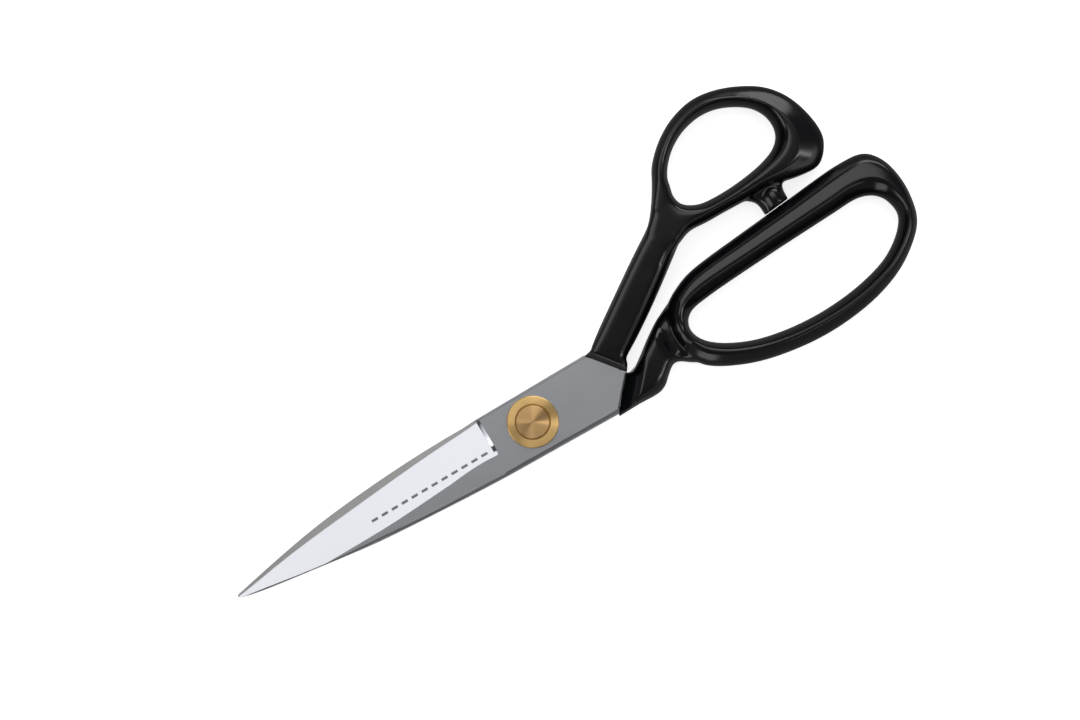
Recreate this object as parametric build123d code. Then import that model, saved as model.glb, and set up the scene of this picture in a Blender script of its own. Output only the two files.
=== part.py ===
from build123d import *
import os

# Fabric shears, 203 mm overall, closed and lying on their back.
# Lengths are in millimetres. The pivot axis is Z, +X runs from the tips
# towards the handles, +Y is the thumb side and Z = 0 is the table.

# ---- levels of the stack on the pivot axis ----
NUT_H = 1.6            # notched nut, its lower face is on the table
GAP = 0.05             # air between neighbouring flat pieces
SPRING_H = 0.45        # height of the conical disc spring
KEY_H = 0.5            # washer with a flat in its hole
BLADE_T = 3.0          # steel thickness at the pivot
BLADE_GAP = 0.1        # air between the two blades
SPRING_Z = NUT_H + GAP
KEY_Z = SPRING_Z + SPRING_H + GAP
BACK_Z = KEY_Z + KEY_H + GAP
MEET_LOW = BACK_Z + BLADE_T
MEET_HIGH = MEET_LOW + BLADE_GAP
FACE_Z = MEET_HIGH + BLADE_T

# ---- pivot hardware ----
BOLT_R = 2.5           # round shank, a running fit in the bush
RUN = 0.05             # running clearance on a radius
SQUARE = 5.0           # width of the square neck under the button
BUTTON_R = 4.35
BUTTON_TOP = 1.3       # rise of the button's rim above the blade face
CONE_RISE = 0.25       # the button's top is a very flat cone
FLANGE_R = 6.75        # brass ring around the button
FLANGE_H = 0.9
RECESS_R = 4.5
FLOOR_H = 0.3          # floor of the ring's recess above the blade face
SLEEVE_R = 5.0         # sleeve of the ring, pressed into the front blade
BUSH_R = 4.0           # bronze bush, pressed into the back blade
FLAT_AT = 2.1          # distance of the bolt's flat from its axis
NUT_R = 5.5
BOLT_END = 0.3         # the bolt's end stays this far inside the nut

# ---- blades ----
TIP = (-89.0, 0.0)
TIP_HALF = 0.55        # half width of the blunt tip
EDGE_LAND = 0.12       # thickness left at the cutting edge
HOLLOW = 0.3           # depth of the hollow on the inner face
PLUNGE_X = -11.7       # where the ground face ends
RUNOUT = 1.0           # length of the curved run-out before it
STATIONS = [-86, -74, -62, -50, -38, -26, -12.7]
FACET_Y = [-3.9, -4.1, -4.15, -4.15, -3.75, -3.05, -2.7]
BEVEL_W = [0.75, 1.3, 1.9, 2.1, 1.85, 1.4, 0.5]
BACK_T = [1.45, 1.85, 2.25, 2.6, 2.85, 3.0, 3.0]
BEVEL_T = [0.85, 1.15, 1.45, 1.65, 1.6, 1.35, 1.05]
FRONT_EDGE_Y = [1.1, 3.45, 5.4, 6.65, 7.45, 7.85, 7.7]
FRONT_SPINE_Y = [-0.9, -2.8, -4.45, -5.5, -6.6, -7.3, -8.0]
BACK_EDGE_Y = [1.2, 3.2, 4.9, 6.45, 7.4, 8.2, 8.9]
BACK_SPINE_Y = [-0.75, -3.0, -4.9, -6.2, -7.0, -7.45, -8.0]
FRONT_HEEL = [(20.3, 7.6), (27.3, -1.4), (20.6, -8.8)]
BACK_HEEL = [(20.3, 9.75), (26.6, 0.2), (20.3, -8.0)]
FRONT_TANG = [(23.6, 3.4), (43.4, 17.0), 4.2, 2.6]
BACK_TANG = [(23.8, 5.6), (40.0, 0.6), 2.4, 2.0]
HEEL_CHAMFER = 0.35

# ---- handles ----
HANDLE_T = 11.0        # thickness of both bows
THUMB_ROUND = (1.7, 1.4)   # rounding of the thumb bow, outside and in the hole
FINGER_ROUND = (2.3, 1.9)  # the same of the finger bow
NECK_CLEAR = 0.35      # air beside the other half's blade end
COLLAR_RUN = 2.2       # slope of a handle's end down onto its blade
SHOULDER_RUN = 4.5     # slope of a handle beside the other blade
NECK_R = 1.5            # rounding of the finger neck
SHANK_R = 1.6          # rounding of the thumb shank
NUB_INSET = 1.0        # the stop nub is thinner than the bow
STOP_NUB = [(75.5, 22.5), (79.0, 19.0), (79.6, 15.35), (86.4, 15.85), (86.6, 19.8), (89.0, 22.5)]

THUMB_BOW = [
    (56.6, 31.0), (59.0, 38.0), (66.0, 46.1), (78.0, 50.4), (90.0, 46.9),
    (98.0, 41.0), (102.0, 31.0), (101.6, 23.2), (95.0, 18.7), (88.0, 20.5),
    (78.0, 21.2), (66.0, 21.5), (58.6, 24.0),
]
THUMB_HOLE = [
    (60.6, 31.5), (63.0, 38.3), (69.0, 43.7), (77.0, 46.0), (85.0, 44.1),
    (91.7, 39.0), (92.0, 31.8), (86.0, 27.4), (76.0, 25.8), (66.0, 26.0),
]
FINGER_BOW = [
    (42.3, 0.5), (46.0, 8.5), (53.0, 11.9), (68.0, 13.8), (86.0, 15.5),
    (102.0, 16.7), (110.5, 15.0), (113.9, 7.5), (113.6, -2.0), (107.0, -11.1),
    (96.0, -16.7), (78.0, -19.2), (60.0, -16.8), (47.0, -10.8), (42.6, -5.0),
]
FINGER_HOLE = [
    (47.0, -0.5), (50.0, 4.0), (60.0, 5.2), (80.0, 6.25), (100.0, 7.0),
    (107.0, 4.3), (108.6, -2.0), (103.0, -8.6), (92.0, -12.7), (78.0, -13.95),
    (62.0, -11.9), (52.0, -7.3),
]


BASE = (Align.CENTER, Align.CENTER, Align.MIN)


def polyface(points):
    """A flat face inside a closed polygon."""
    return make_face(Polyline(*points, close=True))


def yz_plane(x):
    """Plane across the blade at x, with its own x axis along +Y."""
    return Plane(origin=(x, 0, 0), x_dir=(0, 1, 0), z_dir=(1, 0, 0))


def blade_plan(edge_y, spine_y):
    """Plan of the ground length, from the blunt tip to the run-out, cutting edge on +Y."""
    start = (TIP[0] + 0.35, TIP_HALF)
    end = (TIP[0] + 0.35, -TIP_HALF)
    edge = list(zip(STATIONS, edge_y))
    spine = list(zip(STATIONS, spine_y))
    tip = ThreePointArc(start, TIP, end)
    upper = Spline(start, *edge)
    lower = Spline(end, *spine)
    return make_face([tip, upper, Line(edge[-1], spine[-1]), lower])


def heel_plate(edge_y, spine_y, heel):
    """Full-thickness plate around the pivot, with its outer edges chamfered."""
    first = (STATIONS[-1], edge_y[-1])
    last = (STATIONS[-1], spine_y[-1])
    plate = extrude(polyface([first, *heel, last]), BLADE_T)
    joint = (Vector(*heel[0]) + Vector(*heel[1])) / 2
    start = (Vector(*first) + Vector(*last)) / 2
    hidden = [joint + Vector(0, 0, BLADE_T), start + Vector(0, 0, BLADE_T)]
    rims = [e for e in plate.edges() if e.center().Z > BLADE_T - 0.01]
    open_rims = [e for e in rims if min((e.center() - h).length for h in hidden) > 0.5]
    return chamfer(open_rims, HEEL_CHAMFER)


def grind_tool(edge_y):
    """What the grinding takes off the outer face, from the tip to the run-out."""
    faces = []
    last = len(STATIONS) - 1
    xs = [TIP[0] - 2.0] + STATIONS[:-1] + [PLUNGE_X - RUNOUT]
    for k, x in enumerate(xs):
        i = max(k - 1, 0)
        edge = edge_y[i] - (0.55 if k == 0 else 0.0)
        faces.append(yz_plane(x) * grind_section(edge, i, 0.0))
    end = yz_plane(PLUNGE_X) * grind_section(edge_y[last], last, BLADE_T)
    return loft(faces) + loft([faces[-1], end], ruled=True)


def grind_section(edge, i, lift):
    """Section of the removed steel; lift raises its floor to leave full thickness."""
    top = BLADE_T + 2.0
    slope = (BEVEL_T[i] - EDGE_LAND) / BEVEL_W[i]
    bevel = edge - BEVEL_W[i]
    heights = [BACK_T[i], BACK_T[i], BEVEL_T[i], EDGE_LAND - slope * 0.8]
    heights = [max(h, lift) + 0.001 for h in heights]
    low = [(-13.0, heights[0]), (FACET_Y[i], heights[1]), (bevel, heights[2]), (edge + 0.8, heights[3])]
    return polyface(low + [(edge + 0.8, top), (-13.0, top)])


def hollow_tool(edge_y, spine_y):
    """Shallow hollow along the inner face, so the blades touch at the edges."""
    faces = []
    for i, x in enumerate(STATIONS):
        low = spine_y[i] * 0.8
        high = edge_y[i] * 0.8
        arc = ThreePointArc((low, -0.001), ((low + high) / 2, HOLLOW), (high, -0.001))
        faces.append(yz_plane(x) * make_face([arc, Line((high, -0.001), (low, -0.001))]))
    return loft(faces)


def tang_plan(tang):
    """Tapered tongue of the blade inside the handle."""
    start = Vector(*tang[0])
    end = Vector(*tang[1])
    along = (end - start).normalized()
    side = Vector(-along.Y, along.X)
    root = start - along * 3.0
    corners = [
        root + side * tang[2],
        end + side * tang[3],
        end - side * tang[3],
        root - side * tang[2],
    ]
    return polyface([(c.X, c.Y) for c in corners])


def blade(edge_y, spine_y, heel, tang, hole_r):
    """One blade: inner face on Z = 0, cutting edge on +Y, pivot at the origin."""
    steel = extrude(blade_plan(edge_y, spine_y), BLADE_T)
    steel = steel + heel_plate(edge_y, spine_y, heel)
    steel = steel - grind_tool(edge_y)
    steel = steel - hollow_tool(edge_y, spine_y)
    steel = steel + extrude(tang_plan(tang), BLADE_T)
    return steel - Cylinder(hole_r, 3 * BLADE_T)


def front_blade():
    steel = blade(FRONT_EDGE_Y, FRONT_SPINE_Y, FRONT_HEEL, FRONT_TANG, SLEEVE_R)
    return Pos(0, 0, MEET_HIGH) * steel


def back_blade():
    steel = blade(BACK_EDGE_Y, BACK_SPINE_Y, BACK_HEEL, BACK_TANG, BUSH_R)
    return Pos(0, 0, MEET_LOW) * Rot(180, 0, 0) * steel


def ring_bow(outer, hole, rounding):
    """A closed bow of even thickness with rounded edges."""
    outline = make_face(Spline(*outer, periodic=True))
    opening = make_face(Spline(*hole, periodic=True))
    bow = extrude(outline - opening, HANDLE_T)
    rims = [e for e in bow.edges() if e.length > 30]
    longest = max(e.length for e in rims)
    outside = [e for e in rims if e.length > longest - 1.0]
    bow = fillet(outside, rounding[0])
    inside = [e for e in bow.edges() if min(e.center().Z, HANDLE_T - e.center().Z) < 0.01]
    shortest = min(e.length for e in inside)
    return fillet([e for e in inside if e.length < shortest + 1.0], rounding[1])


def slope_cut(start, end, side_at, level, slope_at, face):
    """What is cut off a handle beside the line start-end: from a level out to the
    handle's face, with a sloping side between the distances side_at and slope_at."""
    start = Vector(*start)
    along = (Vector(*end) - start).normalized()
    side = along.cross(Vector(0, 0, 1))
    beyond = 20.0
    past = 0.1 if face > level else -0.1
    profile = [
        (-beyond, level),
        (side_at, level),
        (slope_at, face + past),
        (-beyond, face + past),
    ]
    plane = Plane(origin=(start.X, start.Y, 0), x_dir=side, z_dir=side.cross(Vector(0, 0, 1)))
    return extrude(plane * polyface(profile), 2 * beyond, both=True)


def thumb_handle(blade_solid):
    """Upper handle: shank, small bow with the palm lobe, and the stop nub."""
    left = [(22.4, 8.2), (30.0, 13.8), (38.0, 19.2), (46.0, 24.5), (53.0, 29.6), (58.6, 37.2)]
    right = [(60.3, 24.4), (55.0, 19.5), (50.0, 16.0), (42.0, 10.2), (34.0, 4.5), (29.0, 1.3)]
    collar = [(29.0, 1.3), (28.8, 0.4), (27.3, -1.4), (20.3, 7.6), (22.4, 8.2)]
    plan = make_face([Spline(*left), Line(left[-1], right[0]), Spline(*right), Polyline(*collar)])
    shank = extrude(plan, HANDLE_T)
    sides = [e for e in shank.edges().filter_by(GeomType.BSPLINE) if e.length > 30]
    shank = fillet(sides, SHANK_R)
    nub = extrude(polyface(STOP_NUB), HANDLE_T - 2 * NUB_INSET)
    uprights = [e for e in nub.edges() if abs(e.center().Z - HANDLE_T / 2 + NUB_INSET) < 0.1]
    nub = Pos(0, 0, NUB_INSET) * fillet(uprights, 0.5)
    handle = ring_bow(THUMB_BOW, THUMB_HOLE, THUMB_ROUND) + shank + nub
    handle = handle - slope_cut(FRONT_HEEL[1], FRONT_HEEL[0], 0.0, FACE_Z, COLLAR_RUN, HANDLE_T)
    other = [(x, -y) for x, y in BACK_HEEL]
    handle = handle - slope_cut(other[1], other[2], NECK_CLEAR, MEET_HIGH, SHOULDER_RUN, 0.0)
    return handle - blade_solid


def finger_handle(blade_solid):
    """Lower handle: neck and the long bow for several fingers."""
    corner = (32.0, -10.2)
    low = [corner, (36.0, -7.8), (39.5, -5.6), (43.5, -5.4), (47.5, -6.0)]
    high = [(47.5, 8.0), (41.0, 6.1), (35.0, 2.3), (30.0, -1.6)]
    start = Polyline(high[-1], (27.6, -1.95), (26.6, -0.2), (20.3, -9.75), corner)
    bend = Spline(low[-1], (44.8, 0.0), high[0])
    plan = make_face([Spline(*low), bend, Spline(*high), start])
    neck = extrude(plan, HANDLE_T)
    sides = [e for e in neck.edges().filter_by(GeomType.BSPLINE) if e.center().X < 43]
    belly = [e for e in neck.edges().filter_by(GeomType.LINE) if abs(e.center().X - 26.15) < 0.2]
    neck = fillet(sides + belly, NECK_R)
    handle = ring_bow(FINGER_BOW, FINGER_HOLE, FINGER_ROUND) + neck
    handle = handle - slope_cut(FRONT_HEEL[2], FRONT_HEEL[1], NECK_CLEAR, MEET_LOW, SHOULDER_RUN, HANDLE_T)
    own = [(x, -y) for x, y in BACK_HEEL]
    handle = handle - slope_cut(own[0], own[1], 0.0, BACK_Z, COLLAR_RUN, 0.0)
    return handle - blade_solid


def front_collar():
    """Brass ring around the button, with a sleeve in the front blade."""
    ring = Pos(0, 0, FACE_Z) * Cylinder(FLANGE_R, FLANGE_H, align=BASE)
    ring = chamfer(ring.edges().group_by(Axis.Z)[-1], 0.25)
    sleeve = Pos(0, 0, MEET_HIGH + GAP) * Cylinder(SLEEVE_R, BLADE_T, align=BASE)
    recess = Pos(0, 0, FACE_Z + FLOOR_H) * Cylinder(RECESS_R, FLANGE_H, align=BASE)
    square = Pos(0, 0, MEET_HIGH) * Box(SQUARE + GAP, SQUARE + GAP, BLADE_T + FLANGE_H, align=BASE)
    return ring + sleeve - recess - square


def pivot_bolt():
    """Brass bolt: round button, square neck in the ring, shank with a flat."""
    seat = FACE_Z + FLOOR_H + GAP
    rim = FACE_Z + BUTTON_TOP
    half = [
        (0, seat),
        (BUTTON_R, seat),
        (BUTTON_R, rim - 0.2),
        (BUTTON_R - 0.2, rim),
        (0, rim + CONE_RISE),
    ]
    head = revolve(Plane.XZ * polyface(half), Axis.Z)
    neck = Pos(0, 0, MEET_HIGH + 2 * GAP) * Box(SQUARE, SQUARE, seat - MEET_HIGH, align=BASE)
    shank = Pos(0, 0, BOLT_END) * Cylinder(BOLT_R, MEET_HIGH + 1.0 - BOLT_END, align=BASE)
    flat = Pos(FLAT_AT, -10, -1) * Box(10, 20, KEY_Z + KEY_H + 1, align=(Align.MIN, Align.MIN, Align.MIN))
    return head + neck + (shank - flat)


def pivot_bush():
    """Bronze bush in the back blade, turning on the bolt."""
    body = Pos(0, 0, BACK_Z) * Cylinder(BUSH_R, BLADE_T, align=BASE)
    return body - Cylinder(BOLT_R + RUN, 40)


def key_washer():
    """Washer whose flat keeps it from turning on the bolt."""
    plate = Pos(0, 0, KEY_Z) * Cylinder(NUT_R - 0.3, KEY_H, align=BASE)
    flat_side = (Align.MAX, Align.CENTER, Align.CENTER)
    hole = Cylinder(BOLT_R + RUN, 40) & Pos(FLAT_AT + RUN, 0, 0) * Box(20, 20, 40, align=flat_side)
    return plate - hole


def disc_spring():
    """Conical disc spring between the nut and the keyed washer."""
    thick = 0.3
    rise = SPRING_H - thick
    inner = BOLT_R + 0.2
    outer = NUT_R - 0.7
    half = [
        (inner, SPRING_Z + rise),
        (outer, SPRING_Z),
        (outer, SPRING_Z + thick),
        (inner, SPRING_Z + SPRING_H),
    ]
    return revolve(Plane.XZ * polyface(half), Axis.Z)


def tension_nut():
    """Round nut with two rim notches for a pronged key."""
    body = Cylinder(NUT_R, NUT_H, align=BASE)
    body = chamfer(body.edges().group_by(Axis.Z)[0], 0.2)
    body = body - Cylinder(BOLT_R + RUN, 40)
    for side in (-1, 1):
        body = body - Pos(0, side * NUT_R, 0) * Box(1.6, 2.4, 1.8)
    return body


def write(name, shape):
    """Write one piece as a STEP file of its own."""
    export_step(shape, f"parts/{name}.step")


os.makedirs("parts", exist_ok=True)
upper_steel = front_blade()
lower_steel = back_blade()
write("front_blade", upper_steel)
write("back_blade", lower_steel)
write("thumb_handle", thumb_handle(upper_steel))
write("finger_handle", finger_handle(lower_steel))
for piece in (front_collar, pivot_bolt, pivot_bush, key_washer, disc_spring, tension_nut):
    write(piece.__name__, piece())
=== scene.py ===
# %% [markdown]
# # Fabric shears: ground steel blades, black enamelled handles, brass pivot
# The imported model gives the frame: where each blade, handle and pivot piece
# is, and which half of the shears it moves with. This script keeps the small
# hidden hardware, gives it better finishes, and builds finer shapes for the
# pieces that the eye rests on: the two cast handles, the blades and the brass.

# %% Load the frame
import bmesh
import bpy
import math
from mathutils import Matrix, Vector


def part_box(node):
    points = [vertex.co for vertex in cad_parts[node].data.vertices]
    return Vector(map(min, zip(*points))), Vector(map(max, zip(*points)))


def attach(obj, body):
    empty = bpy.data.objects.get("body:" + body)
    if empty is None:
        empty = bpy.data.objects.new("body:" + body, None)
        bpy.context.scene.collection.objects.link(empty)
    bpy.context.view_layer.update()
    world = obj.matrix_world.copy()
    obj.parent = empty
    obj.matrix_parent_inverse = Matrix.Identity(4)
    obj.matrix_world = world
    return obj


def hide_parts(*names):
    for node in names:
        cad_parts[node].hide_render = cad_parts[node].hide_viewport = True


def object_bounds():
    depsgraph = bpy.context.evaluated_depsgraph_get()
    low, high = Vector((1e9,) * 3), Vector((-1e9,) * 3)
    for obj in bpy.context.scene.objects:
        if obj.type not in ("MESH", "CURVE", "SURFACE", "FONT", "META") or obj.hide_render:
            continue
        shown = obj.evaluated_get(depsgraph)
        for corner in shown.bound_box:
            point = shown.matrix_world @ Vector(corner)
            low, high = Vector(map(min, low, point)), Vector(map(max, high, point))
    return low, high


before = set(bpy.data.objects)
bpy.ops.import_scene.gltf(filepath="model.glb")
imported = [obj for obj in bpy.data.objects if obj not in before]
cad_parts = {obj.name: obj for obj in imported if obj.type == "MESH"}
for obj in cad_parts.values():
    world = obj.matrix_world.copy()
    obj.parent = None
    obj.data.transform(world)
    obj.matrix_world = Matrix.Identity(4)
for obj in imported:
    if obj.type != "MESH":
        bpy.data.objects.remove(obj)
cad_low, cad_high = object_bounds()
MM = 0.001
print("CAD box, mm:", [round(v / MM, 1) for v in (*cad_low, *cad_high)])

# %% [markdown]
# Everything turns about the pivot, which is the frame's Z axis. The levels of
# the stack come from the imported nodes, so that the finer shapes sit exactly
# where the solids do. Lengths below are in millimetres until a mesh is done.

# %% Levels read from the frame
BOW_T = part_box("finger_handle")[1].z / MM
FRONT_STEEL = [corner.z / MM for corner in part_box("front_blade")]
BACK_STEEL = [corner.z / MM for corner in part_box("back_blade")]
COLLAR_Z = [corner.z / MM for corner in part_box("front_collar")]
COLLAR_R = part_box("front_collar")[1].x / MM
BOLT_Z = [corner.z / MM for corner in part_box("pivot_bolt")]
print("bow", BOW_T, "front steel", FRONT_STEEL, "back steel", BACK_STEEL, "collar", COLLAR_Z)

# %% [markdown]
# A few helpers serve the whole file. Colours are written as the hex codes of a
# paint chart and turned to linear light by one function. One function adds a
# shader node with its settings and links, and one starts a material. One turns
# a bmesh into an object, and one makes an object's modifiers part of its mesh.

# %% Helpers for colour, nodes and pieces


def linear(hex_code):
    """Turn an sRGB hex colour into linear red, green, blue and alpha."""
    channels = [int(hex_code[i:i + 2], 16) / 255 for i in (1, 3, 5)]
    return [c / 12.92 if c <= 0.04045 else ((c + 0.055) / 1.055) ** 2.4 for c in channels] + [1.0]


def add_node(material, kind, links=None, **settings):
    """Add a node, set its inputs and properties, and link its inputs."""
    tree = material.node_tree
    node = tree.nodes.new(kind)
    for name, value in settings.items():
        if name.startswith("in_"):
            node.inputs[name[3:].replace("_", " ")].default_value = value
        else:
            setattr(node, name, value)
    for socket, source in (links or {}).items():
        tree.links.new(source, node.inputs[socket])
    return node


def new_material(name, **shader):
    """A material with one Principled shader, its plain settings given by name."""
    material = bpy.data.materials.new(name)
    material.use_nodes = True
    shader_node = material.node_tree.nodes["Principled BSDF"]
    for socket, value in shader.items():
        shader_node.inputs[socket.replace("_", " ")].default_value = value
    return material, shader_node


def smooth_object(name, bm):
    """Write a bmesh, in millimetres, to a smooth-shaded object in metres."""
    bmesh.ops.scale(bm, vec=(MM, MM, MM), verts=bm.verts)
    mesh = bpy.data.meshes.new(name)
    bm.to_mesh(mesh)
    bm.free()
    mesh.shade_smooth()
    piece = bpy.data.objects.new(name, mesh)
    bpy.context.scene.collection.objects.link(piece)
    return piece


def with_modifiers_applied(piece):
    """Replace a piece's mesh by what its modifiers make of it."""
    graph = bpy.context.evaluated_depsgraph_get()
    made = bpy.data.meshes.new_from_object(piece.evaluated_get(graph))
    piece.modifiers.clear()
    piece.data = made
    made.shade_smooth()
    return piece


# %% [markdown]
# ## How the handles are shaped
# The handles are castings: a bow is a bar of changing width that runs round
# its hole, with a slope down into the hole, a narrow flat on top and a slope
# down to the outside. The way a pattern maker would describe it is by ribs:
# at each place round the bow, where the hole's edge is, where the outer edge
# is, and how far in from each of them the flat begins. Ribs could be placed by
# hand for the whole bow, but a smooth curve through a few of them gives the rest.

# %% Curves and ribs


def between(ribs, steps, closed=True):
    """Rows of numbers on a smooth curve through the given rows, steps per span."""
    count = len(ribs)
    found = []
    for i in range(count if closed else count - 1):
        around = (i - 1, i, i + 1, i + 2)
        rows = [ribs[k % count if closed else min(max(k, 0), count - 1)] for k in around]
        for t in [k / steps for k in range(steps)]:
            found.append([
                b + 0.5 * t * (c - a + t * (2 * a - 5 * b + 4 * c - d + t * (3 * b - a - 3 * c + d)))
                for a, b, c, d in zip(*rows)
            ])
    return found if closed else found + [list(ribs[-1])]


def rib_section(width, inner, outer, low, high, lean, brim):
    """Closed section of a bow as (distance from the hole's edge, height)."""
    middle = (low + high) / 2
    half = (high - low) / 2
    flat = width - inner - outer
    crest = min(0.35, 0.3 * flat + 0.12)
    drop = lean * flat / half
    upper = [
        (0.0, 0.0),
        (0.08 * inner, 0.42),
        (inner - crest, 0.92),
        (inner + 0.5 * crest, 1.0),
        (inner + 0.35 * flat, 1.0 - 0.35 * drop),
        (inner + 0.65 * flat, 1.0 - 0.65 * drop),
        (width - outer - 0.5 * crest, 1.0 - drop),
        (width - outer + crest, 0.92 - drop),
        (width - 0.08 * outer, brim),
        (width, 0.0),
    ]
    lower = [(d, -h) for d, h in upper[-2:0:-1]]
    return [(d, middle + h * half) for d, h in upper + lower]


def rib_ring(start, end, section):
    """Places of a section's points between the hole's edge and the outer edge."""
    reach = (end - start).length
    across = (end - start) / reach
    return [Vector((*(start + across * d).xy, z)) for d, z in section]


def loft(rings, closed):
    """Skin a row of rings by extruding the first ring from place to place."""
    bm = bmesh.new()
    count = len(rings[0])
    first = bmesh.ops.create_circle(bm, segments=count, radius=1.0)["verts"]
    for vert, place in zip(first, rings[0]):
        vert.co = place
    row = list(first)
    for ring in rings[1:] + ([rings[0]] if closed else []):
        edges = [e for e in bm.edges if e.verts[0] in row and e.verts[1] in row]
        made = bmesh.ops.extrude_edge_only(bm, edges=edges)["geom"]
        fresh = [g for g in made if isinstance(g, bmesh.types.BMVert)]
        order = {tuple(v.co): v for v in fresh}
        row = [order[tuple(old.co)] for old in row]
        for vert, place in zip(row, ring):
            vert.co = place
    if closed:
        bmesh.ops.remove_doubles(bm, verts=bm.verts, dist=0.001)
    else:
        bmesh.ops.holes_fill(bm, edges=[e for e in bm.edges if e.is_boundary], sides=0)
    bmesh.ops.recalc_face_normals(bm, faces=bm.faces)
    return bm


def subdivided(bm, levels=2):
    """The same shape after Catmull-Clark subdivision, with its flat ends kept."""
    crease = bm.edges.layers.float.get("crease_edge") or bm.edges.layers.float.new("crease_edge")
    for face in bm.faces:
        if len(face.verts) > 4:
            for edge in face.edges:
                edge[crease] = 1.0
    mesh = bpy.data.meshes.new("cage")
    bm.to_mesh(mesh)
    bm.free()
    cage = bpy.data.objects.new("cage", mesh)
    bpy.context.scene.collection.objects.link(cage)
    step = cage.modifiers.new("smooth", "SUBSURF")
    step.levels = step.render_levels = levels
    with_modifiers_applied(cage)
    fine = bmesh.new()
    fine.from_mesh(cage.data)
    bpy.data.objects.remove(cage)
    return fine


TABLE_AIR = 0.05


def rings_along(ribs, steps, lean, brim, closed):
    """Section rings for ribs of (side x, y, other side x, y, slope, slope, low, high)."""
    rings = []
    for x0, y0, x1, y1, inner, outer, low, high in between(ribs, steps, closed):
        start, end = Vector((x0, y0, 0.0)), Vector((x1, y1, 0.0))
        section = rib_section((end - start).length, inner, outer, max(low, TABLE_AIR), high, lean, brim)
        rings.append(rib_ring(start, end, section))
    return rings


def bow(ribs, steps, lean, brim):
    """A closed bow round a hole, its first side being the hole's edge."""
    return subdivided(loft(rings_along(ribs, steps, lean, brim, closed=True), closed=True))


def bar(ribs, steps):
    """An open bar through ribs like a bow's, capped at both ends."""
    return subdivided(loft(rings_along(ribs, steps, 0.0, 0.42, closed=False), closed=False))


# %% [markdown]
# A finished casting lies a little inside its ribs, because smoothing draws it
# in. So the ribs are laid down first and then grown at both ends, and a whole
# bow is moved if it has to be, by a few tenths of a millimetre.


# %% Growing the ribs
def grown(ribs, hole_side, outer_side, moved=(0.0, 0.0)):
    """Ribs made longer at their two ends, in millimetres, and moved in plan."""
    found = []
    for x0, y0, x1, y1, *rest in ribs:
        start, end = Vector((x0, y0)), Vector((x1, y1))
        along = (end - start).normalized()
        start += Vector(moved) - along * hole_side
        end += Vector(moved) + along * outer_side
        found.append((*start, *end, *rest))
    return found


# %% [markdown]
# The finger bow is straight where three fingers press, with a broad flat that
# leans a little to the outside, and thins to a slim round bar underneath.

# %% Finger bow
FINGER_RIBS = [
    (46.95, -0.6, 42.3, -0.9, 1.5, 2.6),
    (47.3, 1.3, 42.8, 3.6, 1.7, 2.6),
    (48.5, 3.0, 45.2, 7.9, 2.2, 2.5),
    (50.8, 4.2, 49.0, 10.3, 2.9, 2.3),
    (55.0, 4.8, 54.0, 12.25, 3.4, 2.3),
    (61.0, 5.3, 60.7, 13.25, 3.4, 2.4),
    (69.0, 5.75, 69.0, 14.0, 3.3, 2.6),
    (78.0, 6.2, 78.0, 14.8, 3.3, 2.7),
    (87.0, 6.55, 87.0, 15.6, 3.4, 2.8),
    (95.0, 6.85, 95.0, 16.35, 3.5, 2.8),
    (101.0, 7.05, 102.0, 16.75, 3.7, 2.7),
    (104.9, 6.0, 108.7, 16.0, 4.0, 2.3),
    (107.4, 3.9, 112.4, 11.9, 3.9, 1.8),
    (108.6, 1.3, 113.9, 5.9, 3.2, 1.7),
    (108.95, -1.6, 113.7, -0.2, 2.7, 1.8),
    (107.8, -4.3, 112.0, -5.9, 2.4, 1.8),
    (104.6, -7.5, 107.6, -10.6, 2.2, 1.9),
    (99.4, -10.6, 101.0, -14.8, 2.1, 2.1),
    (92.0, -12.7, 92.8, -17.6, 2.1, 2.5),
    (84.0, -13.75, 84.0, -18.95, 2.0, 2.8),
    (76.0, -13.9, 75.5, -19.15, 1.9, 2.9),
    (68.0, -13.1, 67.0, -18.25, 1.9, 2.8),
    (60.5, -11.4, 58.6, -16.4, 1.9, 3.2),
    (54.2, -8.7, 51.0, -13.3, 1.9, 3.2),
    (49.9, -5.8, 45.8, -9.9, 1.8, 3.2),
    (47.7, -3.1, 43.2, -5.8, 1.6, 3.2),
]
LEAN = 0.14
finger_ribs = grown(FINGER_RIBS, 0.25, 0.35, moved=(0.3, -0.1))
finger_bow = bow([(*rib, TABLE_AIR, BOW_T) for rib in finger_ribs], steps=4, lean=LEAN, brim=0.42)
print("finger bow:", len(finger_bow.faces), "faces")

# %% [markdown]
# The thumb bow is small and nearly oval. Beside the palm it swells into a
# broad lobe, which rises like a dome, so its outer slope is long.

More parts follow.
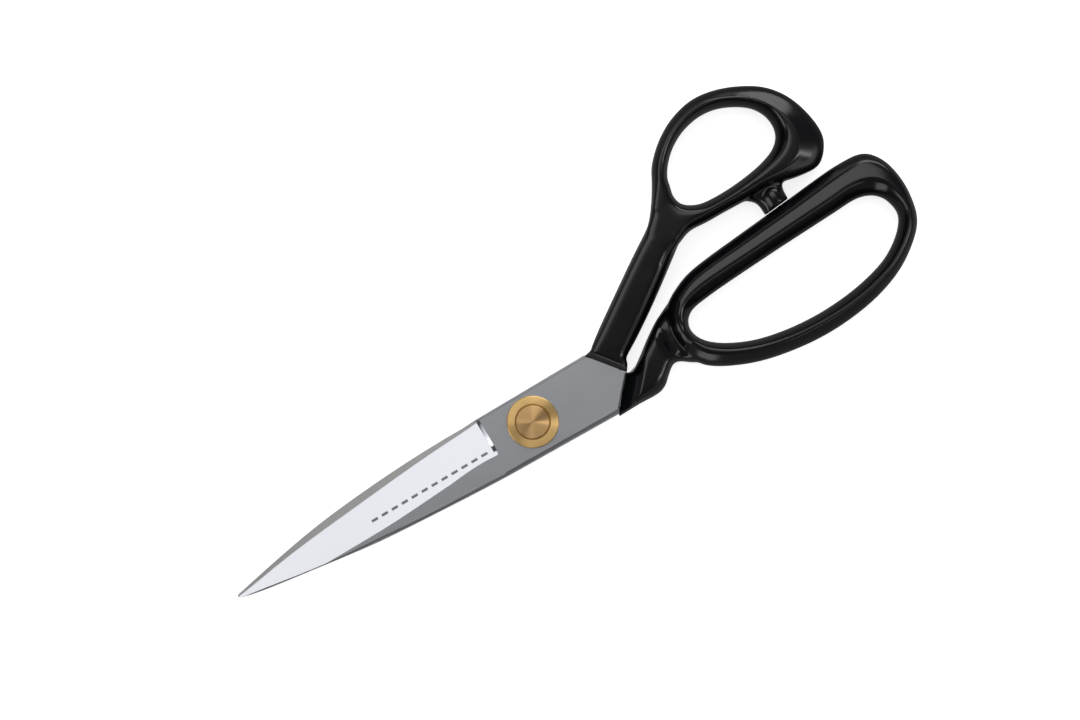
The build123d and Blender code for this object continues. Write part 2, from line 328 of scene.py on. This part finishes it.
# %% Thumb bow
THUMB_RIBS = [
    (60.7, 31.6, 48.0, 24.6, 1.7, 0.8),
    (60.9, 32.8, 52.4, 29.3, 1.7, 0.9),
    (61.3, 34.4, 55.3, 33.0, 1.6, 1.0),
    (61.8, 36.5, 57.9, 37.0, 1.6, 1.3),
    (63.7, 39.4, 60.4, 41.2, 1.5, 1.4),
    (67.0, 42.5, 64.8, 45.4, 1.5, 1.5),
    (71.5, 44.9, 70.2, 48.6, 1.6, 1.8),
    (76.8, 46.0, 76.8, 50.35, 1.8, 2.1),
    (81.7, 45.5, 83.05, 49.8, 2.0, 2.6),
    (86.2, 43.6, 89.45, 47.5, 2.1, 3.3),
    (89.9, 40.9, 95.4, 43.8, 2.3, 4.2),
    (92.0, 37.5, 99.6, 38.4, 2.5, 5.1),
    (92.5, 34.0, 101.9, 31.4, 2.7, 5.4),
    (91.6, 31.0, 102.0, 24.6, 2.9, 6.4),
    (89.2, 28.7, 97.8, 19.4, 2.6, 6.2),
    (85.4, 27.2, 91.6, 19.4, 2.2, 4.6),
    (80.5, 26.25, 84.0, 21.0, 2.0, 2.7),
    (75.0, 25.7, 76.5, 21.15, 1.8, 2.2),
    (69.8, 25.65, 70.4, 21.4, 1.8, 2.1),
    (65.8, 26.1, 65.0, 21.5, 1.8, 2.1),
    (63.0, 27.35, 60.0, 21.75, 1.8, 2.1),
    (61.5, 28.7, 55.6, 20.2, 1.8, 2.0),
    (60.9, 30.1, 50.4, 18.6, 1.8, 1.4),
]
THUMB_MOVED = (0.45, 0.12)
thumb_ribs = grown(THUMB_RIBS[:1], 0.25, 0.0, THUMB_MOVED) + grown(THUMB_RIBS[1:], 0.25, 0.3, THUMB_MOVED)
thumb_bow = bow([(*rib, TABLE_AIR, BOW_T) for rib in thumb_ribs], steps=4, lean=0.0, brim=0.56)
print("thumb bow:", len(thumb_bow.faces), "faces")

# %% [markdown]
# The shank of the thumb handle is a straight flat-topped bar. Where it leaves
# the blade, its back is cut away down to the plane in which the two halves
# slide over each other, and its end slopes down onto the steel as a collar.

# %% Thumb shank
SLIDE_TOP = FRONT_STEEL[0]
FRONT_FACE = FRONT_STEEL[1]
SHANK_RIBS = [
    (27.4, -1.4, 20.1, 7.75, 0.5, 0.5, SLIDE_TOP, BOW_T),
    (28.8, 0.6, 22.3, 8.2, 1.0, 0.7, SLIDE_TOP, BOW_T),
    (29.5, 2.1, 23.6, 9.3, 1.5, 0.9, SLIDE_TOP - 1.2, BOW_T),
    (34.0, 5.0, 28.0, 12.5, 1.8, 1.0, 0.05, BOW_T),
    (42.0, 10.3, 35.6, 17.7, 1.9, 1.0, 0.05, BOW_T),
    (50.0, 16.05, 43.6, 23.1, 1.9, 1.0, 0.05, BOW_T),
    (55.0, 19.75, 50.3, 27.4, 2.0, 1.1, 0.05, BOW_T),
    (57.6, 22.0, 53.4, 29.8, 2.4, 1.8, 0.2, BOW_T - 0.1),
]


def slice_off(bm, point, normal):
    """Cut a closed shape by a plane, drop what is on the normal's side, and cap it."""
    everything = bm.verts[:] + bm.edges[:] + bm.faces[:]
    cut = bmesh.ops.bisect_plane(bm, geom=everything, plane_co=point, plane_no=normal, clear_outer=True)
    rim = [g for g in cut["geom_cut"] if isinstance(g, bmesh.types.BMEdge)]
    bmesh.ops.holes_fill(bm, edges=rim, sides=0)
    return bm


shank_ribs = grown(SHANK_RIBS[:3], 0.15, 0.05) + grown(SHANK_RIBS[3:], 0.35, 0.05)
thumb_shank = bar(shank_ribs, steps=4)
COLLAR_SLOPE = 53.0
heel_line = (Vector((20.3, 7.6, 0.0)) - Vector((27.3, -1.4, 0.0))).normalized()
heel_side = Vector((heel_line.y, -heel_line.x, 0.0))
tilt = math.radians(COLLAR_SLOPE)
collar_normal = -heel_side * math.sin(tilt) + Vector((0, 0, 1)) * math.cos(tilt)
slice_off(thumb_shank, (27.3, -1.4, FRONT_FACE), collar_normal)
print("thumb shank:", len(thumb_shank.faces), "faces")

# %% [markdown]
# The neck of the finger handle lies under the front blade's heel, so it is a
# low slab there. Beside the heel it rises in a slope to a flat panel, and the
# panel sinks again before it meets the bow, which leaves a small valley.

# %% Finger neck
SLIDE_LOW = BACK_STEEL[1]
BACK_FACE = BACK_STEEL[0]
NECK_RIBS = [
    (19.9, -10.35, 26.4, -0.55, 0.45, 0.5, 10.8),
    (26.4, -10.0, 28.6, -2.1, 1.4, 0.8, 10.8),
    (31.6, -10.2, 30.8, -1.0, 1.9, 1.1, 10.8),
    (34.4, -9.3, 33.2, 0.7, 2.1, 1.3, 10.7),
    (36.6, -7.4, 35.7, 2.6, 2.0, 1.6, 10.4),
    (38.9, -5.7, 38.3, 4.4, 1.9, 1.8, 9.9),
    (41.0, -5.9, 40.8, 6.0, 1.8, 1.8, 8.3),
    (43.4, -7.7, 43.4, 7.3, 1.8, 1.8, 7.9),
    (45.6, -8.8, 46.2, 8.6, 1.8, 1.8, 7.7),
]
neck_ribs = NECK_RIBS[:1] + grown(NECK_RIBS[1:], 0.3, 0.05)
neck_slab = bar([(*rib[:4], 0.4 * rib[4], 0.5 * rib[5], TABLE_AIR, SLIDE_LOW) for rib in neck_ribs], steps=4)
neck_panel = bar([(*rib[:6], 0.2, rib[6]) for rib in neck_ribs], steps=4)
print("neck:", len(neck_slab.faces), "+", len(neck_panel.faces), "faces")

# %% [markdown]
# The slopes are plane cuts. Each is given by the line of a blade's heel, the
# height at which the slope meets it, and how steep it is.


# %% Slopes beside the blades
def slope_at(bm, heel_from, heel_to, height, steepness, set_back=0.0, upwards=True):
    """Slice a shape by a slope that climbs (or falls) away from a blade's heel line."""
    along = (Vector((*heel_to, 0.0)) - Vector((*heel_from, 0.0))).normalized()
    away = Vector((along.y, -along.x, 0.0))
    angle = math.radians(steepness)
    lift = Vector((0, 0, 1.0 if upwards else -1.0))
    normal = lift * math.cos(angle) - away * math.sin(angle)
    place = Vector((*heel_from, height)) + away * set_back
    return slice_off(bm, place, normal)


SIDE_AIR = 0.35
slope_at(neck_panel, (20.6, -8.8), (27.3, -1.4), SLIDE_LOW, 52.0, set_back=SIDE_AIR)
slope_at(neck_slab, (20.3, -9.75), (26.6, -0.2), BACK_FACE, 45.0, upwards=False)
print("slopes cut")

# %% [markdown]
# The stop nub is a little block between the bows with a round boss on it. It
# keeps the bows a finger's breadth apart when the shears close.

# %% Stop nub
NUB_RIBS = [
    (79.3, 15.2, 86.75, 15.88, 1.3, 0.9, 1.8, 8.4),
    (79.2, 17.5, 86.7, 17.5, 1.6, 0.9, 1.8, 8.4),
    (78.5, 19.5, 87.1, 19.6, 1.7, 1.0, 1.8, 8.2),
    (76.0, 21.6, 89.0, 21.3, 2.0, 1.4, 2.0, 8.0),
    (75.0, 23.0, 90.0, 23.0, 2.2, 1.6, 2.4, 7.6),
]
stop_nub = bar(NUB_RIBS, steps=4)
BOSS_R = 2.7
BOSS_AT = Vector((83.6, 18.7, 6.9))
nub_boss = bmesh.new()
bmesh.ops.create_uvsphere(nub_boss, u_segments=24, v_segments=16, radius=BOSS_R)
low_half = [v for v in nub_boss.verts if v.co.y < -0.01]
bmesh.ops.translate(nub_boss, verts=low_half, vec=(0, -4.0, 0))
bmesh.ops.translate(nub_boss, verts=nub_boss.verts, vec=BOSS_AT)
slice_off(nub_boss, (83.6, 15.8, 0), (0.09, -1, 0))
print("stop nub:", len(stop_nub.faces), "faces, boss:", len(nub_boss.faces))

# %% [markdown]
# A casting has no creases where its bars meet. Joining the closed shapes by a
# boolean would leave hard lines, and a hand-built mesh would need a special
# patch at each fork. So the closed shapes are put together and skinned anew
# with a voxel remesh, as if cast in one piece. The whole skin is smoothed a
# little, and the forks more, the way a pattern maker fills them with wax.

# %% Cast each handle in one piece
VOXEL = 0.32
CAST_ROUNDS = 3
EVERY_WAY = {"factor": 0.5, "use_axis_x": True, "use_axis_y": True, "use_axis_z": True}


def cast(name, shapes, forks):
    """Skin closed shapes as one casting and smooth it near the forks (x, y, reach, rounds)."""
    together = bmesh.new()
    for shape in shapes:
        part = bpy.data.meshes.new("part")
        shape.to_mesh(part)
        together.from_mesh(part)
        shape.free()
        bpy.data.meshes.remove(part)
    piece = smooth_object(name, together)
    skin = piece.modifiers.new("skin", "REMESH")
    skin.mode = "VOXEL"
    skin.voxel_size = VOXEL * MM
    with_modifiers_applied(piece)
    bm = bmesh.new()
    bm.from_mesh(piece.data)
    for _ in range(CAST_ROUNDS):
        bmesh.ops.smooth_vert(bm, verts=bm.verts, **EVERY_WAY)
    for x, y, reach, rounds in forks:
        centre = Vector((x * MM, y * MM))
        near = [v for v in bm.verts if (v.co.xy - centre).length < reach * MM]
        for _ in range(rounds):
            bmesh.ops.smooth_vert(bm, verts=near, **EVERY_WAY)
    bm.to_mesh(piece.data)
    bm.free()
    piece.data.shade_smooth()
    print(name, len(piece.data.polygons), "faces")
    return piece

# %% The two handles
thumb_casting = cast(
    "thumb_handle_casting",
    [thumb_bow, thumb_shank, stop_nub, nub_boss],
    forks=[
        (51.8, 28.6, 4.0, 24), (52.5, 18.4, 4.0, 24),
        (79.0, 21.5, 3.0, 8), (87.5, 21.0, 3.0, 8), (83.0, 18.4, 4.0, 14),
    ],
)
finger_casting = cast(
    "finger_handle_casting",
    [finger_bow, neck_slab, neck_panel],
    forks=[(45.0, 8.0, 3.5, 24), (43.8, -7.0, 3.5, 24), (43.2, 3.2, 3.4, 30), (42.8, -2.5, 3.0, 24)],
)
for casting, body, node in (
    (thumb_casting, "front_half", "thumb_handle"),
    (finger_casting, "back_half", "finger_handle"),
):
    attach(casting, body)
    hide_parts(node)

# %% [markdown]
# ## Blades
# A blade is ground in three planes: the flat root and back are satin, the wide
# face that runs to the tip is polished bright, and the narrow cutting bevel
# is left with its grinding grain. The solid already has these planes, so its
# mesh is copied, its loose triangles are merged, and each face is given its
# finish by the way it leans.

# %% Steel finishes by facet
SATIN, POLISHED, GROUND = 0, 1, 2
RUNOUT_FROM, RUNOUT_TO = -12.75, -11.6


def facet_of(face, outward):
    """Which finish a face of a blade has, from its place and its lean."""
    lean = face.normal.z * outward
    sideways = abs(face.normal.y)
    x = face.calc_center_median().x / MM
    if x > RUNOUT_TO or lean < 0.2:
        return SATIN
    if x > RUNOUT_FROM and lean < 0.9999:
        return POLISHED
    if sideways > 0.3:
        return GROUND
    return POLISHED if sideways > 0.06 else SATIN


def ground_blade(name, node, outward):
    """A merged copy of a blade's solid, with its facets told apart and crisp edges between them."""
    bm = bmesh.new()
    bm.from_mesh(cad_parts[node].data)
    bmesh.ops.remove_doubles(bm, verts=bm.verts, dist=0.001 * MM)
    for face in bm.faces:
        face.smooth = True
        face.material_index = facet_of(face, outward)
    crisp = math.radians(18)
    for edge in bm.edges:
        faces = edge.link_faces
        if len(faces) == 2:
            bends = edge.calc_face_angle(0.0) > crisp
            edge.smooth = not (bends or faces[0].material_index != faces[1].material_index)
    mesh = bpy.data.meshes.new(name)
    bm.to_mesh(mesh)
    counts = [sum(f.material_index == k for f in bm.faces) for k in (SATIN, POLISHED, GROUND)]
    bm.free()
    blade = bpy.data.objects.new(name, mesh)
    bpy.context.scene.collection.objects.link(blade)
    print(name, "faces by finish:", counts)
    return blade


front_steel = ground_blade("front_blade_steel", "front_blade", 1.0)
back_steel = ground_blade("back_blade_steel", "back_blade", -1.0)
for steel, body, node in (
    (front_steel, "front_half", "front_blade"),
    (back_steel, "back_half", "back_blade"),
):
    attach(steel, body)
    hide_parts(node)

# %% [markdown]
# ## Brass
# The ring and the button are turned on a lathe, so they are spun from half
# sections here too. Small rounds on the rims catch the light as real ones do.

# %% Turned ring and button
TURNS = 128


def turned(name, half_section):
    """Spin a half section (radius, height) about the pivot."""
    bm = bmesh.new()
    row = [bm.verts.new((radius, 0.0, height)) for radius, height in half_section]
    closed_row = zip(row, row[1:] + row[:1]) if half_section[0][0] > 0 else zip(row, row[1:])
    edges = [bm.edges.new(pair) for pair in closed_row]
    bmesh.ops.spin(
        bm, geom=row + edges, cent=(0, 0, 0), axis=(0, 0, 1),
        angle=math.tau, steps=TURNS, use_merge=True,
    )
    bmesh.ops.remove_doubles(bm, verts=bm.verts, dist=0.0005)
    bmesh.ops.recalc_face_normals(bm, faces=bm.faces)
    crisp = math.radians(20)
    for edge in bm.edges:
        edge.smooth = edge.calc_face_angle(0.0) < crisp
    bmesh.ops.scale(bm, vec=(MM, MM, MM), verts=bm.verts)
    for face in bm.faces:
        face.smooth = True
    mesh = bpy.data.meshes.new(name)
    bm.to_mesh(mesh)
    bm.free()
    piece = bpy.data.objects.new(name, mesh)
    bpy.context.scene.collection.objects.link(piece)
    print(name, len(mesh.polygons), "faces")
    return piece


def rounded(radius, height, size, steps=4):
    """Points of a quarter round on an outer top rim."""
    angles = [math.pi / 2 * k / steps for k in range(steps + 1)]
    return [(radius - size + size * math.cos(a), height - size + size * math.sin(a)) for a in angles]


FLANGE_TOP = COLLAR_Z[1]
RECESS_R = 4.58
RECESS_Z = FRONT_FACE + 0.3
GROOVE_Z = FRONT_FACE + 0.06
SLEEVE_R = 5.0
ring = turned(
    "turned_brass_ring",
    [(3.6, COLLAR_Z[0]), (SLEEVE_R, COLLAR_Z[0]), (SLEEVE_R, FRONT_FACE), (COLLAR_R, FRONT_FACE)]
    + rounded(COLLAR_R, FLANGE_TOP, 0.3)
    + [(RECESS_R + 0.1, FLANGE_TOP), (RECESS_R, FLANGE_TOP - 0.1), (RECESS_R, GROOVE_Z)]
    + [(4.1, GROOVE_Z), (4.1, RECESS_Z), (3.6, RECESS_Z)],
)
BUTTON_R = 4.28
CONE_RISE = 0.25
BUTTON_SEAT = RECESS_Z + 0.05
SHANK_R = 2.5
button = turned(
    "turned_brass_button",
    [(0.0, BOLT_Z[0]), (SHANK_R, BOLT_Z[0]), (SHANK_R, BUTTON_SEAT), (BUTTON_R, BUTTON_SEAT)]
    + rounded(BUTTON_R, BOLT_Z[1] - CONE_RISE, 0.14)
    + [(0.0, BOLT_Z[1])],
)
for brass, node in ((ring, "front_collar"), (button, "pivot_bolt")):
    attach(brass, "front_half")
    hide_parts(node)

# %% [markdown]
# ## Finishes
# Black enamel: a thick glossy paint, baked on the cast handles. The eye gets a
# deep black with soft-edged reflections, very slightly uneven like all paint
# that has flowed over a casting.

# %% Black enamel
enamel, enamel_shader = new_material(
    "black_baked_enamel", Base_Color=linear("#08090b"), Roughness=0.18, IOR=1.48,
)
place = add_node(enamel, "ShaderNodeTexCoord")
FLOW_MM = 5.0
flow = add_node(
    enamel, "ShaderNodeTexNoise", {"Vector": place.outputs["Object"]},
    in_Scale=1 / (FLOW_MM * MM), in_Detail=2.0,
)
uneven = add_node(
    enamel, "ShaderNodeMapRange", {"Value": flow.outputs["Fac"]},
    in_To_Min=0.15, in_To_Max=0.21,
)
enamel.node_tree.links.new(uneven.outputs["Result"], enamel_shader.inputs["Roughness"])
skin_bump = add_node(
    enamel, "ShaderNodeBump", {"Height": flow.outputs["Fac"]},
    in_Strength=0.08, in_Distance=0.03 * MM,
)
enamel.node_tree.links.new(skin_bump.outputs["Normal"], enamel_shader.inputs["Normal"])
for casting in (thumb_casting, finger_casting):
    casting.data.materials.clear()
    casting.data.materials.append(enamel)

# %% [markdown]
# Three finishes of one carbon steel. The satin root was brushed with a fine
# belt, along the blade. The polished face mirrors the room, with a row of
# etched stitch marks. The bevel keeps the grain of the grinding wheel, which
# runs across the edge.


# %% Blade steel
def steel_finish(name, colour, roughness, grain_mm, stretch, depth):
    """Bare steel with a directional grain; stretch scales the grain along X, Y, Z."""
    material, shader = new_material(name, Base_Color=linear(colour), Metallic=1.0, Roughness=roughness)
    where = add_node(material, "ShaderNodeTexCoord")
    grain_space = add_node(
        material, "ShaderNodeMapping", {"Vector": where.outputs["Object"]}, in_Scale=stretch,
    )
    grain = add_node(
        material, "ShaderNodeTexNoise", {"Vector": grain_space.outputs["Vector"]},
        in_Scale=1 / (grain_mm * MM), in_Detail=3.0,
    )
    spread = add_node(
        material, "ShaderNodeMapRange", {"Value": grain.outputs["Fac"]},
        in_To_Min=roughness * 0.8, in_To_Max=roughness * 1.25,
    )
    bump = add_node(
        material, "ShaderNodeBump", {"Height": grain.outputs["Fac"]},
        in_Strength=depth, in_Distance=0.02 * MM,
    )
    material.node_tree.links.new(spread.outputs["Result"], shader.inputs["Roughness"])
    material.node_tree.links.new(bump.outputs["Normal"], shader.inputs["Normal"])
    return material, shader, where, spread


GRAIN_MM = 0.5
satin, _, _, _ = steel_finish(
    "satin_carbon_steel", "#acaeb1", 0.38, GRAIN_MM, (0.15, 1.0, 1.0), 0.25,
)
polished, polished_shader, spot, polish_spread = steel_finish(
    "polished_carbon_steel", "#b4b6ba", 0.13, GRAIN_MM, (1.0, 0.3, 1.0), 0.05,
)
wheel_ground, _, _, _ = steel_finish(
    "wheel_ground_carbon_steel", "#c4c3c2", 0.5, GRAIN_MM, (1.0, 0.12, 1.0), 0.35,
)

# %% [markdown]
# The etched row is a plain running stitch: dashes of equal length and gap
# along the bright face. It is worked out from distances on the blade, so it
# has a real size, and it is etched, not cut: only duller and greyer.

# %% Etched stitch marks
STITCH_PITCH = 3.0
STITCH_SHARE = 0.6
STITCH_FROM, STITCH_TO = -49.0, -14.0
STITCH_Y, STITCH_WIDTH = -0.9, 0.7


def arithmetic(operation, *values):
    """One Math node on the polished steel; each value is a number or an output."""
    node = add_node(polished, "ShaderNodeMath", operation=operation)
    for socket, value in zip(node.inputs, values):
        if isinstance(value, (int, float)):
            socket.default_value = value
        else:
            polished.node_tree.links.new(value, socket)
    return node.outputs["Value"]


axes = add_node(polished, "ShaderNodeSeparateXYZ", {"Vector": spot.outputs["Object"]})
along_mm = arithmetic("DIVIDE", axes.outputs["X"], MM)
across_mm = arithmetic("DIVIDE", axes.outputs["Y"], MM)
steps_along = arithmetic("DIVIDE", arithmetic("SUBTRACT", along_mm, STITCH_FROM), STITCH_PITCH)
step_part = arithmetic("FRACT", steps_along)
in_dash = arithmetic("LESS_THAN", step_part, STITCH_SHARE)
in_row = arithmetic("COMPARE", across_mm, STITCH_Y, STITCH_WIDTH / 2)
after = arithmetic("GREATER_THAN", along_mm, STITCH_FROM)
before = arithmetic("LESS_THAN", along_mm, STITCH_TO)
in_stretch = arithmetic("MULTIPLY", after, before)
etched = arithmetic("MULTIPLY", arithmetic("MULTIPLY", in_dash, in_row), in_stretch)
tint = add_node(
    polished, "ShaderNodeMix", {"Factor": etched}, data_type="RGBA",
)
tint.inputs[6].default_value = linear("#b4b6ba")
tint.inputs[7].default_value = linear("#7a7b7f")
polished.node_tree.links.new(tint.outputs[2], polished_shader.inputs["Base Color"])
dull = arithmetic("MAXIMUM", polish_spread.outputs["Result"], arithmetic("MULTIPLY", etched, 0.5))
polished.node_tree.links.new(dull, polished_shader.inputs["Roughness"])
for steel in (front_steel, back_steel):
    for finish in (satin, polished, wheel_ground):
        steel.data.materials.append(finish)

# %% [markdown]
# Turned brass: the lathe leaves fine rings, so the light stretches into a
# bow-tie across the button. The shader's anisotropy does this when its
# tangent runs round the pivot.


# %% Brass, bronze and plated steel
def turned_metal(name, colour, roughness, anisotropy, ring_mm):
    """Metal with lathe rings about the pivot."""
    material, shader = new_material(
        name, Base_Color=linear(colour), Metallic=1.0, Roughness=roughness,
        Anisotropic=anisotropy, Anisotropic_Rotation=0.25,
    )
    round_pivot = add_node(material, "ShaderNodeTangent", direction_type="RADIAL", axis="Z")
    material.node_tree.links.new(round_pivot.outputs["Tangent"], shader.inputs["Tangent"])
    where = add_node(material, "ShaderNodeTexCoord")
    rings = add_node(
        material, "ShaderNodeTexWave", {"Vector": where.outputs["Object"]},
        wave_type="RINGS", rings_direction="Z", in_Scale=0.31 / (ring_mm * MM), in_Distortion=0.4,
    )
    grooves = add_node(
        material, "ShaderNodeBump", {"Height": rings.outputs["Fac"]},
        in_Strength=0.12, in_Distance=0.02 * MM,
    )
    material.node_tree.links.new(grooves.outputs["Normal"], shader.inputs["Normal"])
    blotch = add_node(
        material, "ShaderNodeTexNoise", {"Vector": where.outputs["Object"]},
        in_Scale=1 / (2.5 * MM), in_Detail=3.0,
    )
    worn = add_node(
        material, "ShaderNodeMapRange", {"Value": blotch.outputs["Fac"]},
        in_To_Min=roughness * 0.85, in_To_Max=roughness * 1.2,
    )
    material.node_tree.links.new(worn.outputs["Result"], shader.inputs["Roughness"])
    return material


brass_finish = turned_metal("turned_brass", "#e6c07e", 0.40, 0.85, 0.3)
faced_brass = turned_metal("faced_brass", "#dcb47c", 0.42, 0.95, 0.25)
bronze_finish = turned_metal("bearing_bronze", "#b07a48", 0.35, 0.4, 0.3)
plated_finish = turned_metal("zinc_plated_steel", "#a9abad", 0.32, 0.5, 0.3)
ring.data.materials.append(brass_finish)
button.data.materials.append(faced_brass)
for node, finish in (
    ("tension_nut", faced_brass),
    ("pivot_bush", bronze_finish),
    ("key_washer", plated_finish),
    ("disc_spring", plated_finish),
):
    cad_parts[node].material_slots[0].material = finish
print("finishes:", [m.name for m in bpy.data.materials if m.users])

# %% [markdown]
# ## Light, floor and camera
# Bare steel and black gloss show what they mirror, so the lights are placed by
# what each surface should see. The bright face and the leaning flat of the
# finger bow look up into a large soft box past the thumb side. Flat tops look
# past it into a dim room. A strip beyond the other side draws the fine lines
# along the crests, a narrow box lights the brass, and low boxes on the left
# and right, past the tips and far behind catch the steep outer slopes.

# %% Floor
floor_bm = bmesh.new()
bmesh.ops.create_grid(floor_bm, x_segments=1, y_segments=1, size=2.0)
floor_mesh = bpy.data.meshes.new("table_top")
floor_bm.to_mesh(floor_mesh)
floor_bm.free()
floor = bpy.data.objects.new("table_top", floor_mesh)
bpy.context.scene.collection.objects.link(floor)
white_board, _ = new_material(
    "lit_white_board", Base_Color=linear("#dcdcdc"), Roughness=0.9,
    Emission_Color=linear("#ffffff"), Emission_Strength=0.8,
)
floor.data.materials.append(white_board)
floor.visible_glossy = False

# %% Lights
middle = (cad_low + cad_high) / 2


def soft_box(name, azimuth, climb, distance, width, height, glow):
    """A rectangular light turned to the shears, seen from them at an azimuth and a climb in degrees."""
    light = bpy.data.lights.new(name, "AREA")
    light.shape = "RECTANGLE"
    light.size, light.size_y = width, height
    light.energy = 4 * glow * width * height
    lamp = bpy.data.objects.new(name, light)
    turn, rise = math.radians(azimuth), math.radians(climb)
    towards = Vector((math.cos(turn) * math.cos(rise), math.sin(turn) * math.cos(rise), math.sin(rise)))
    lamp.location = middle + towards * distance
    lamp.rotation_euler = (-towards).to_track_quat("-Z", "Y").to_euler()
    lamp.visible_camera = False
    bpy.context.scene.collection.objects.link(lamp)
    return lamp


soft_box("key_box", 90, 67.5, 0.97, 0.9, 0.6, 1.3)
soft_box("crest_strip", 300, 30, 0.9, 1.0, 0.25, 0.8)
soft_box("narrow_box", 323, 52, 0.9, 0.1, 0.55, 4.5)
soft_box("right_box", 45, 24, 0.9, 0.75, 0.5, 2.4)
soft_box("low_left_box", 228, 6, 0.9, 0.45, 0.35, 1.4)
soft_box("tip_box", 182, 12, 0.9, 0.5, 0.7, 1.6)
soft_box("far_strip", 92, 7, 0.9, 1.2, 0.25, 0.5)

world = bpy.data.worlds.new("dim_room")
world.use_nodes = True
bpy.context.scene.world = world
room = world.node_tree
direction = room.nodes.new("ShaderNodeTexCoord")
height = room.nodes.new("ShaderNodeSeparateXYZ")
shade = room.nodes.new("ShaderNodeValToRGB")
room.links.new(direction.outputs["Generated"], height.inputs["Vector"])
room.links.new(height.outputs["Z"], shade.inputs["Fac"])
shade.color_ramp.elements[0].color = (0.19, 0.19, 0.198, 1)
shade.color_ramp.elements[0].position = 0.0
shade.color_ramp.elements[1].color = (0.128, 0.128, 0.135, 1)
shade.color_ramp.elements[1].position = 0.4
room.links.new(shade.outputs["Color"], room.nodes["Background"].inputs["Color"])
room.nodes["Background"].inputs["Strength"].default_value = 1.0

# %% Camera
VIEW_WIDTH = 0.2798
LENS_MM = 110.0
SENSOR_MM = 36.0
ROLL = math.radians(-30.75)
camera_data = bpy.data.cameras.new("camera")
camera_data.lens = LENS_MM
camera_data.sensor_width = SENSOR_MM
camera = bpy.data.objects.new("camera", camera_data)
reach = VIEW_WIDTH * LENS_MM / SENSOR_MM
camera.location = (0.0098, 0.0128, 0.008 + reach)
camera.rotation_euler = (0, 0, ROLL)
camera_data.clip_start, camera_data.clip_end = 0.05, 10.0
bpy.context.scene.collection.objects.link(camera)
bpy.context.scene.camera = camera
bpy.context.scene.view_settings.view_transform = "Standard"
print("camera", round(reach, 3), "m above the shears")
